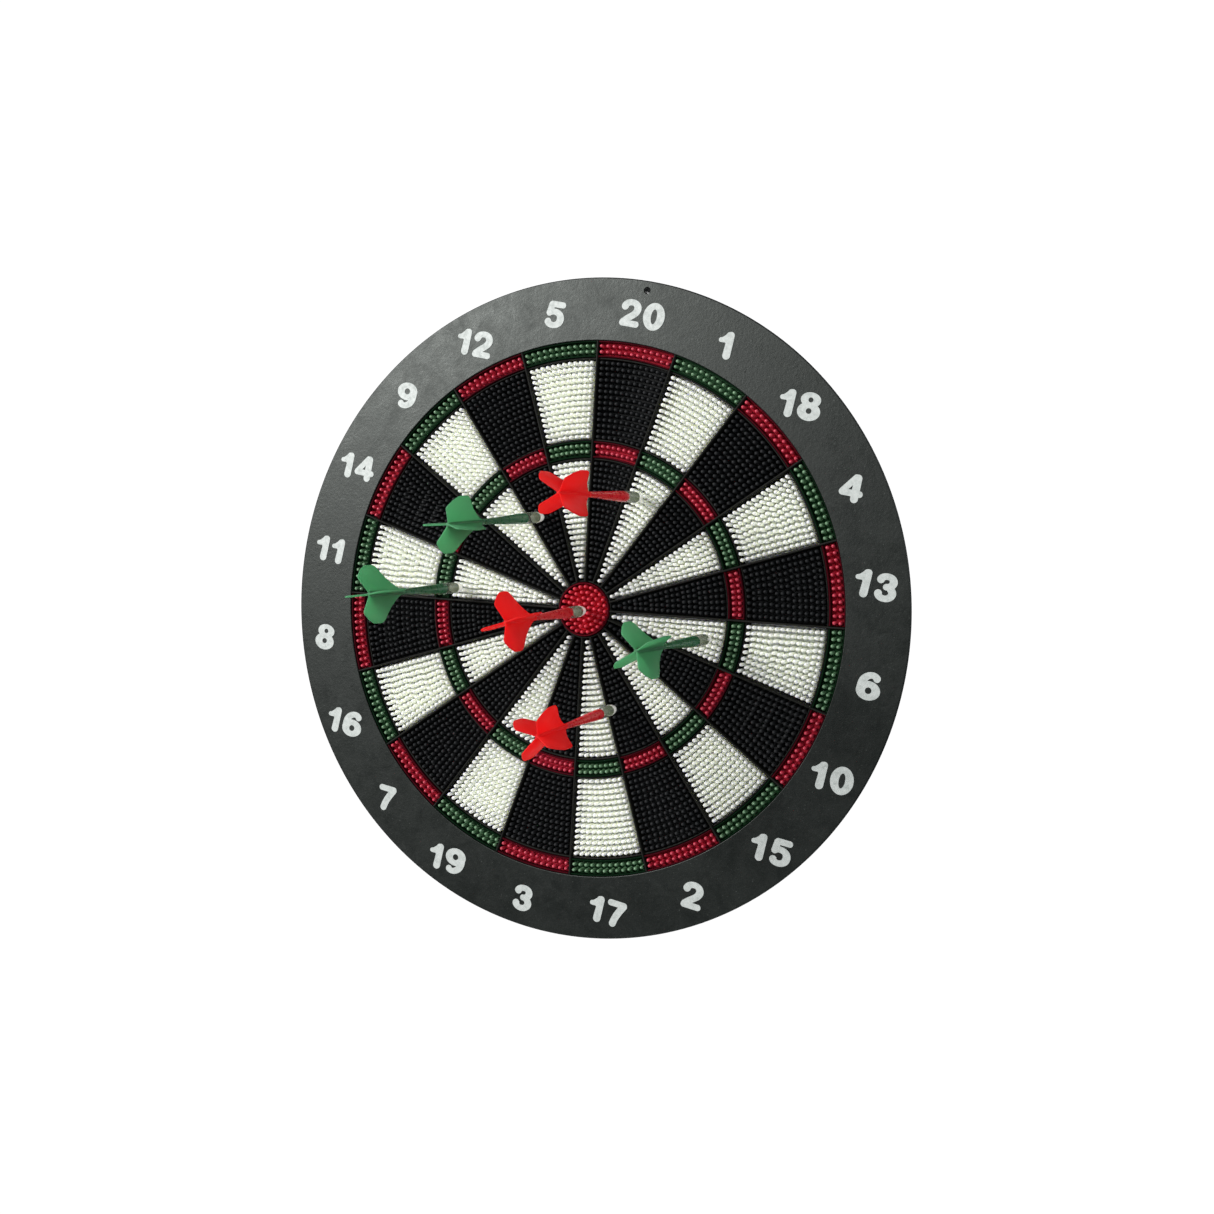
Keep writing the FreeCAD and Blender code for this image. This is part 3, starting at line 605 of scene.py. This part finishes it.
# ------------------------------------------------------------------ CAD nodes that stay, with better materials
for node, mat in (("numerals", M_INK), ("back_cover", M_COVER), ("cover_screws", M_SCREW)):
    o = frame["nodes"][node]
    o.data.materials.clear()
    o.data.materials.append(mat)

# ------------------------------------------------------------------ darts
DARTS = {
    "green_dart_1": (-39.73, 51.34, -0.025, -0.072, 85.7, -1.31, (-4.9, 16.5, 0.5, 6.2)),
    "green_dart_2": (-86.52, -5.01, 0.023, -0.017, 111.2, 0.03, (7.8, -2.3, -4.3, 0.2)),
    "green_dart_3": (86.82, 1.57, -0.006, -0.016, 130.1, 1.89, (0.6, 7.5, -0.7, -1.0)),
    "red_dart_1": (23.10, 76.56, -0.016, -0.019, 55.2, -1.45, (1.5, 2.7, -2.0, -1.6)),
    "red_dart_2": (2.19, -0.03, 0.035, -0.022, 118.9, 2.45, (-0.3, 1.7, -2.8, -0.4)),
    "red_dart_3": (34.04, -56.15, 0.025, -0.047, 75.0, -1.90, (6.8, 0.2, -5.7, 3.2)),
}
U_BARREL, U_FLIGHT, U_HUB = 34.5, 88.1, 130.0
WING = [(1.0, 1.3), (6.0, 3.0), (11.5, 5.7), (17.0, 9.0), (21.0, 12.3), (24.8, 15.6), (26.6, 16.7), (28.0, 17.3),
        (31.0, 17.6), (37.6, 17.45), (39.2, 17.15), (44.0, 15.0), (47.9, 12.2), (48.7, 11.5), (49.25, 10.5),
        (49.1, 9.6), (42.6, 1.9), (42.0, 0.9)]


def dart_frame(spec):
    x, y, sx, sy, roll, extra = spec[:6]
    d = np.array([sx, sy, 1.0])
    d /= np.linalg.norm(d)
    e1 = np.array([1.0, 0, 0]) - d * d[0]
    e1 /= np.linalg.norm(e1)
    e2 = np.cross(d, e1)
    a = math.radians(roll)
    ex = e1 * math.cos(a) + e2 * math.sin(a)
    ey = np.cross(d, ex)
    return np.array([x, y, T]) - d * (8.0 - extra), np.stack([ex, ey, d])


def place(co, spec):
    o, m = dart_frame(spec)
    return o + np.asarray(co) @ m


def wing_mesh(b, q, skew):
    """One wing: a flat blade of even thickness with rounded edges."""
    outline = [(0.3, WING[0][0] + 0.0)] + [(r, s) for s, r in WING] + [(0.3, WING[-1][0])]
    P = np.array(outline)
    n = len(P)
    # inward offset of the outline for the rounded edge
    def inset(P, d):
        out = []
        for i in range(n):
            a, p, c = P[i - 1], P[i], P[(i + 1) % n]
            t1, t2 = p - a, c - p
            t1, t2 = t1 / np.linalg.norm(t1), t2 / np.linalg.norm(t2)
            n1, n2 = np.array([-t1[1], t1[0]]), np.array([-t2[1], t2[0]])
            m = n1 + n2
            m /= max(np.linalg.norm(m), 1e-6)
            out.append(p + m * d / max(0.5, float(m @ n1)))
        return np.array(out)
    area = 0.5 * sum(P[i][0] * P[(i + 1) % n][1] - P[(i + 1) % n][0] * P[i][1] for i in range(n))
    sgn = 1.0 if area > 0 else -1.0
    loops = [(P, 0.0), (inset(P, sgn * 0.10), 0.26), (inset(P, sgn * 0.30), 0.40)]
    co, faces = [], []
    order = [(loops[2][0], -loops[2][1]), (loops[1][0], -loops[1][1]), (P, 0.0), (loops[1][0], loops[1][1]),
             (loops[2][0], loops[2][1])]
    ang = math.radians(90 * q + skew[q])
    cx, sx = math.cos(ang), math.sin(ang)
    for L, h in order:
        for r, s in L:
            co.append((r * cx - h * sx, r * sx + h * cx, U_FLIGHT + s))
    for i in range(len(order) - 1):
        for s in range(n):
            t = (s + 1) % n
            faces.append((i * n + s, i * n + t, (i + 1) * n + t, (i + 1) * n + s))
    faces.append(tuple(range((len(order) - 1) * n, len(order) * n)))
    faces.append(tuple(range(n - 1, -1, -1)))
    b.add(co, faces)


def oriented(o):
    bm = bmesh.new()
    bm.from_mesh(o.data)
    bmesh.ops.recalc_face_normals(bm, faces=bm.faces)
    bm.to_mesh(o.data)
    bm.free()
    o.data.update()


for name, spec in DARTS.items():
    colour = name.split("_")[0]
    # tip: blunt pin, frosted bullet nose, clear ribbed collar, spigot inside the barrel
    prof = [(0, 0.0), (0.34, 0.04), (0.56, 0.2), (0.65, 0.5), (0.65, 9.0), (0.72, 9.7), (0.92, 10.1), (1.45, 10.45),
            (2.05, 11.1), (2.62, 12.4), (3.06, 14.5), (3.34, 16.9), (3.48, 18.9), (3.5, 19.25), (3.6, 19.6)]
    n, start = 12, 20.0
    pitch = (U_BARREL - 0.8 - start) / n
    for i in range(n):
        u0 = start + i * pitch
        prof += [(3.6, u0), (3.6, u0 + pitch * 0.45), (3.38, u0 + pitch * 0.58), (3.36, u0 + pitch * 0.86)]
    prof += [(3.6, U_BARREL - 0.8), (3.58, U_BARREL - 0.2), (3.3, U_BARREL), (1.2, U_BARREL), (1.2, U_BARREL + 5.2),
             (0.9, U_BARREL + 5.5), (0, U_BARREL + 5.5)]
    co, faces = lathe(prof, 40, tip_start=True, tip_end=True)
    fmats = [2 if 6 <= i // 40 < 13 else 0 for i in range(len(faces))]
    # the frosted skin of the nose, lit by a painted glow: a thin closed shell just outside the core
    skin = [(1.86, 10.8), (2.15, 11.1), (2.72, 12.4), (3.16, 14.5), (3.44, 16.9), (3.57, 18.8), (3.52, 18.8),
            (3.38, 16.9), (3.10, 14.5), (2.66, 12.4), (2.09, 11.1), (1.80, 10.8)]
    co, base = list(co), len(co)
    for r, u in skin:
        co += [(r * math.cos(2 * math.pi * k / 40), r * math.sin(2 * math.pi * k / 40), u) for k in range(40)]
    for j in range(len(skin)):
        j2 = (j + 1) % len(skin)
        for k in range(40):
            k2 = (k + 1) % 40
            faces.append((base + j * 40 + k, base + j * 40 + k2, base + j2 * 40 + k2, base + j2 * 40 + k))
            fmats.append(1)
    make(name + "_clear_tip", place(co, spec), faces, body=name, replaces=[name + "_tip"], slot="clear_tip",
         mats=[M_CLEAR, M_NOSE_PAINTED_GLOW, M_CORE], face_mats=fmats, smooth_angle=38)
    # barrel: tapered, with a socket for the tip and a thin rear stem inside the flight
    prof = [(0, U_BARREL + 5.8), (1.22, U_BARREL + 5.8), (1.22, U_BARREL), (2.95, U_BARREL), (3.18, U_BARREL + 0.12),
            (3.3, U_BARREL + 0.5)]
    for u, r in ((38.8, 3.3), (44.0, 3.16), (50.8, 2.95), (57.0, 2.70), (63.8, 2.45), (70.0, 2.18), (75.8, 1.95),
                 (81.5, 1.80), (86.6, 1.70), (88.0, 1.64)):
        prof.append((r, u))
    prof += [(1.1, U_FLIGHT), (1.1, U_FLIGHT + 18), (0.8, U_FLIGHT + 18.4), (0, U_FLIGHT + 18.4)]
    co, faces = lathe(prof, 40, tip_start=True, tip_end=True)
    make(name + "_body", place(co, spec), faces, body=name, replaces=[name + "_barrel"], slot=colour + "_barrel",
         mats=[M_BARREL[colour]], smooth_angle=38)
    # flight: hub and four wings
    b = Build()
    prof = [(1.16, U_FLIGHT + 18.5), (1.16, U_FLIGHT + 0.1), (1.5, U_FLIGHT + 0.02), (1.7, U_FLIGHT + 0.3),
            (1.72, U_FLIGHT + 14), (1.6, U_HUB - 1.6), (1.35, U_HUB - 0.7), (0.8, U_HUB - 0.15), (0, U_HUB)]
    prof = [(0, U_FLIGHT + 18.5)] + prof
    co, faces = lathe(prof, 32, tip_start=True, tip_end=True)
    b.add(co, faces)
    for q in range(4):
        wing_mesh(b, q, spec[6])
    b.co = [place(c, spec) for c in b.co]
    o = b.done(name + "_wings", body=name, replaces=[name + "_flight"], slot=colour + "_flight",
               mats=[M_FLIGHT[colour]], smooth_angle=42)

for o in bpy.data.objects:
    if o.type == "MESH" and "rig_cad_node" not in o:
        oriented(o)

# ------------------------------------------------------------------ camera
cam_data = bpy.data.cameras.new("camera")
cam = bpy.data.objects.new("camera", cam_data)
bpy.context.scene.collection.objects.link(cam)
bpy.context.scene.camera = cam
right, up, fwd = Vector((0.90404, 0.37890, 0.19783)), Vector((-0.22270, 0.02247, 0.97463)), Vector((-0.36484, 0.92516, -0.10469))
fwd = (fwd + up * 0.00018).normalized()
up = (up - fwd * up.dot(fwd)).normalized()
m = Matrix((( right.x, up.x, -fwd.x, 0.3922), (right.y, up.y, -fwd.y, -0.9726), (right.z, up.z, -fwd.z, 0.1130),
            (0, 0, 0, 1)))
loc, rot, _ = m.decompose()
cam.matrix_world = Matrix.LocRotScale(loc, rot, Vector((1, 1, 1)))
cam_data.sensor_width, cam_data.lens = 36.0, 48.77
cam_data.clip_start, cam_data.clip_end = 0.02, 60.0

# ------------------------------------------------------------------ floor, world and lights
b = bpy.data.meshes.new("floor")
s, z = 1.7, -1.73
b.from_pydata([(-s, -s, z), (s, -s, z), (s, s, z), (-s, s, z)], [], [(0, 1, 2, 3)])
floor = bpy.data.objects.new("floor", b)
bpy.context.scene.collection.objects.link(floor)
fm, nt, bsdf, out, vec = node_material("floor_pale")
nt.links.new(ramp(nt, noise(nt, vec, 3.0, 3.0), [(0.3, (0.90, 0.90, 0.90)), (0.7, (0.93, 0.93, 0.93))]),
             bsdf.inputs["Base Color"])
bsdf.inputs["Roughness"].default_value = 0.9
floor.data.materials.append(fm)

world = bpy.data.worlds.new("studio")
bpy.context.scene.world = world
world.use_nodes = True
nt = world.node_tree
nt.nodes.clear()
wo = nt.nodes.new("ShaderNodeOutputWorld")
soft = nt.nodes.new("ShaderNodeBackground")
soft.inputs[0].default_value = (0.93, 0.97, 1.0, 1)
soft.inputs[1].default_value = 0.17
white = nt.nodes.new("ShaderNodeBackground")
white.inputs[0].default_value = (1, 1, 1, 1)
white.inputs[1].default_value = 1.05
lp = nt.nodes.new("ShaderNodeLightPath")
mx = nt.nodes.new("ShaderNodeMixShader")
nt.links.new(lp.outputs["Is Camera Ray"], mx.inputs[0])
nt.links.new(soft.outputs[0], mx.inputs[1])
nt.links.new(white.outputs[0], mx.inputs[2])
nt.links.new(mx.outputs[0], wo.inputs[0])


def softbox(name, loc, target, size, power, colour=(1, 1, 1)):
    d = bpy.data.lights.new(name, "AREA")
    d.shape, d.size, d.size_y = "RECTANGLE", size[0], size[1]
    d.energy, d.color = power, colour
    o = bpy.data.objects.new(name, d)
    o.location = loc
    o.rotation_mode = "QUATERNION"
    o.rotation_quaternion = (Vector(target) - Vector(loc)).to_track_quat("-Z", "Y")
    bpy.context.scene.collection.objects.link(o)
    return o


softbox("key", (-1.40, -1.68, 0.53), (0, 0, 0), (0.86, 0.86), 66.0, (1.0, 0.995, 0.98))
softbox("fill", (1.7, -1.5, 0.9), (0, 0, 0), (1.6, 1.6), 18.0, (0.95, 0.98, 1.0))
softbox("rear", (0.6, 2.0, 1.4), (0, 0, 0), (1.6, 1.6), 45.0)

sc = bpy.context.scene
sc.view_settings.view_transform = "Standard"
sc.view_settings.look = "None"
sc.view_settings.exposure = 0.0
sc.view_settings.gamma = 1.0
sc.cycles.max_bounces = 16
sc.cycles.diffuse_bounces = 10
